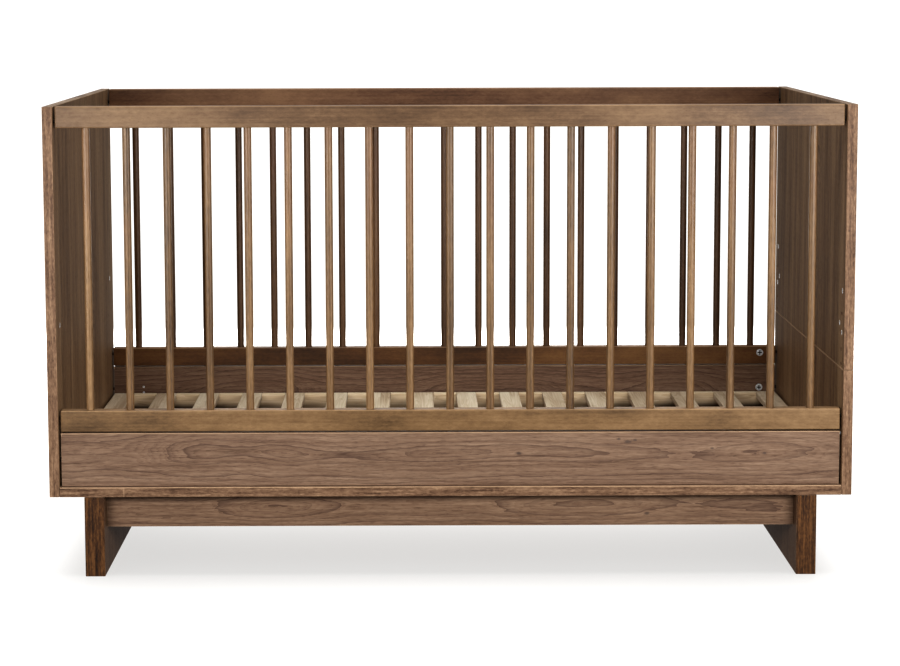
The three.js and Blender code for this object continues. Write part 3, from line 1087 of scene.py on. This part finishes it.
def slatted_base():
    """Builds the base and returns its pieces."""
    low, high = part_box("slatted_base")
    inside = (low, Vector((high.x, high.y - BASE_RAIL, high.z)))
    long_birch = pale_birch("base_rail_birch", "x", "z", RAIL_BIRCH, painted_shade_box=inside)
    pitch = slat_box(1)[0].x - slat_box(0)[0].x
    slat_birch = pale_birch("slat_birch", "y", "x", SLAT_BIRCH, cell=pitch)
    parts = []
    for name, y in (("front", low.y), ("rear", high.y - BASE_RAIL)):
        bar = block((low.x, y, low.z), (high.x, y + BASE_RAIL, high.z), edge=BASE_RAIL_EDGE)
        parts.append((f"base_{name}_rail", cut(bar, slat_notches()), long_birch))
    for name, x in (("left", low.x + MM), ("right", high.x - MM - BASE_RAIL)):
        start = (x, low.y + BASE_RAIL + SEAT_GAP, low.z)
        end_z = low.z + END_RAIL_HEIGHT - SEAT_GAP
        end = (x + BASE_RAIL, high.y - BASE_RAIL - SEAT_GAP, end_z)
        bar = block(start, end, edge=BASE_RAIL_EDGE)
        parts.append((f"base_{name}_end_rail", bar, slat_birch))
    for index in range(SLATS):
        slat = block(*slat_box(index), edge=SLAT_EDGE, rounds=3)
        parts.append((f"base_slat_{index + 1:02d}", slat, slat_birch))
    made = [
        piece(name, shape, [birch], body=BASE_BODY) for name, shape, birch in parts
    ]
    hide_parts("slatted_base")
    return made


# ---------------------------------------------------------------- camera, floor and light
def camera():
    lens = bpy.data.cameras.new("camera")
    lens.lens = 89.8
    lens.sensor_width = 36.0
    lens.shift_x = 0.0408
    lens.shift_y = -0.11
    lens.clip_start = 0.1
    lens.clip_end = 200.0
    eye = bpy.data.objects.new("camera", lens)
    pitch, roll = math.radians(-6.12), math.radians(-0.19)
    turn = Matrix.Rotation(math.pi / 2 + pitch, 4, "X") @ Matrix.Rotation(roll, 4, "Z")
    eye.location = (-0.066, -4.387, 1.055)
    eye.rotation_euler = turn.to_euler()
    bpy.context.scene.collection.objects.link(eye)
    bpy.context.scene.camera = eye


def pale_floor():
    """A wide pale floor that glows a little and is hidden from bounced and glossy rays."""
    shape = bmesh.new()
    bmesh.ops.create_grid(shape, x_segments=1, y_segments=1, size=FLOOR_REACH)
    floor = bpy.data.objects.new("floor", as_mesh(shape, "floor"))
    pale = Finish("pale_floor")
    drift = pale.noise(pale.point(pale.x * FLOOR_CELLS, pale.y * FLOOR_CELLS, 0.0))
    colour = pale.blend(drift, paint(172, 172, 171), paint(176, 176, 175))
    pale.join("Emission Color", (1.0, 0.995, 0.985, 1.0))
    pale.join("Emission Strength", FLOOR_GLOW)
    floor.data.materials.append(pale.close(colour, 0.85, gloss=0.0))
    floor.visible_diffuse = False
    floor.visible_glossy = False
    bpy.context.scene.collection.objects.link(floor)
    return floor


def white_surround():
    """A world that is white to the camera and dimmer to everything else."""
    world = bpy.data.worlds.new("studio")
    sky = Board(world, "Background")
    seen = sky.node("ShaderNodeLightPath")
    sky.join("Color", (1.0, 1.0, 1.0, 1.0))
    sky.join("Strength", sky.node("ShaderNodeMapRange", {}, {0: seen, 3: AMBIENT, 4: 1.0}))
    bpy.context.scene.world = world
    bpy.context.scene.view_settings.view_transform = "Standard"
    bpy.context.scene.view_settings.look = "High Contrast"


def light_list(name, things, state):
    """The things that a lamp lights alone (INCLUDE) or leaves out (EXCLUDE)."""
    together = bpy.data.collections.new(name)
    for thing in things:
        together.objects.link(thing)
    for entry in together.collection_objects:
        entry.light_linking.link_state = state
    return together


def aim(name, light, place, target, receivers):
    lamp = bpy.data.objects.new(name, light)
    lamp.location = place
    lamp.rotation_euler = (Vector(target) - Vector(place)).to_track_quat("-Z", "Y").to_euler()
    bpy.context.scene.collection.objects.link(lamp)
    lamp.light_linking.receiver_collection = receivers


def soft_box(name, lamp, receivers):
    light = bpy.data.lights.new(name, "AREA")
    light.shape = "RECTANGLE"
    light.size = lamp.width
    light.size_y = lamp.height
    light.energy = lamp.watts
    aim(name, light, lamp.place, lamp.target, receivers)
    return light


def mirrored(lamp):
    """The same lamp on the left."""
    place, target = ((-x, y, z) for x, y, z in (lamp.place, lamp.target))
    return lamp._replace(place=place, target=target)


def studio(end_boards, base_pieces, front_bars):
    floor = pale_floor()
    white_surround()
    sun = bpy.data.lights.new("overhead", "SUN")
    sun.energy = SUN_STRENGTH
    sun.angle = math.radians(SUN_ANGLE)
    not_base = light_list("all_but_base", base_pieces, "EXCLUDE")
    aim("overhead", sun, SUN_PLACE, (0.0, 0.0, 0.0), not_base)
    not_floor = light_list("all_but_floor", [floor], "EXCLUDE")
    soft_box("left_lamp", mirrored(RIGHT_LAMP)._replace(watts=LEFT_WATTS), not_floor)
    soft_box("right_lamp", RIGHT_LAMP, not_floor)
    soft_box("ledge_lamp", LEDGE_LAMP, not_floor)
    soft_box("floor_lamp", FLOOR_LAMP, light_list("floor_only", [floor], "INCLUDE"))
    base_light = soft_box("base_lamp", BASE_LAMP, light_list("base_only", base_pieces, "INCLUDE"))
    base_light.spread = math.radians(BASE_LAMP_SPREAD)
    base_light.color = BASE_LAMP_COLOUR
    soft_box("left_side_fill", mirrored(SIDE_FILL), not_floor)
    soft_box("right_side_fill", SIDE_FILL, not_floor)
    neither = light_list("all_but_floor_and_ends", [floor, *end_boards], "EXCLUDE")
    soft_box("rear_fill", REAR_FILL, neither)
    bars_only = light_list("front_bars_only", front_bars, "INCLUDE")
    soft_box("left_rim_lamp", mirrored(RIM_LAMP), bars_only)
    soft_box("right_rim_lamp", RIM_LAMP, bars_only)


# ---------------------------------------------------------------- building the crib
camera()
end_boards = end_panels()
bottom_board()
stand()
front_bars = barred_side("front")
barred_side("rear")
rear_cams()
hidden_cams()
cam_bolts()
locating_pin()
screw_heads()
base_pieces = slatted_base()
for pin in ("end_link_pin_front", "end_link_pin_rear"):
    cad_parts[pin].material_slots[0].material = steel
studio(end_boards, base_pieces, front_bars)
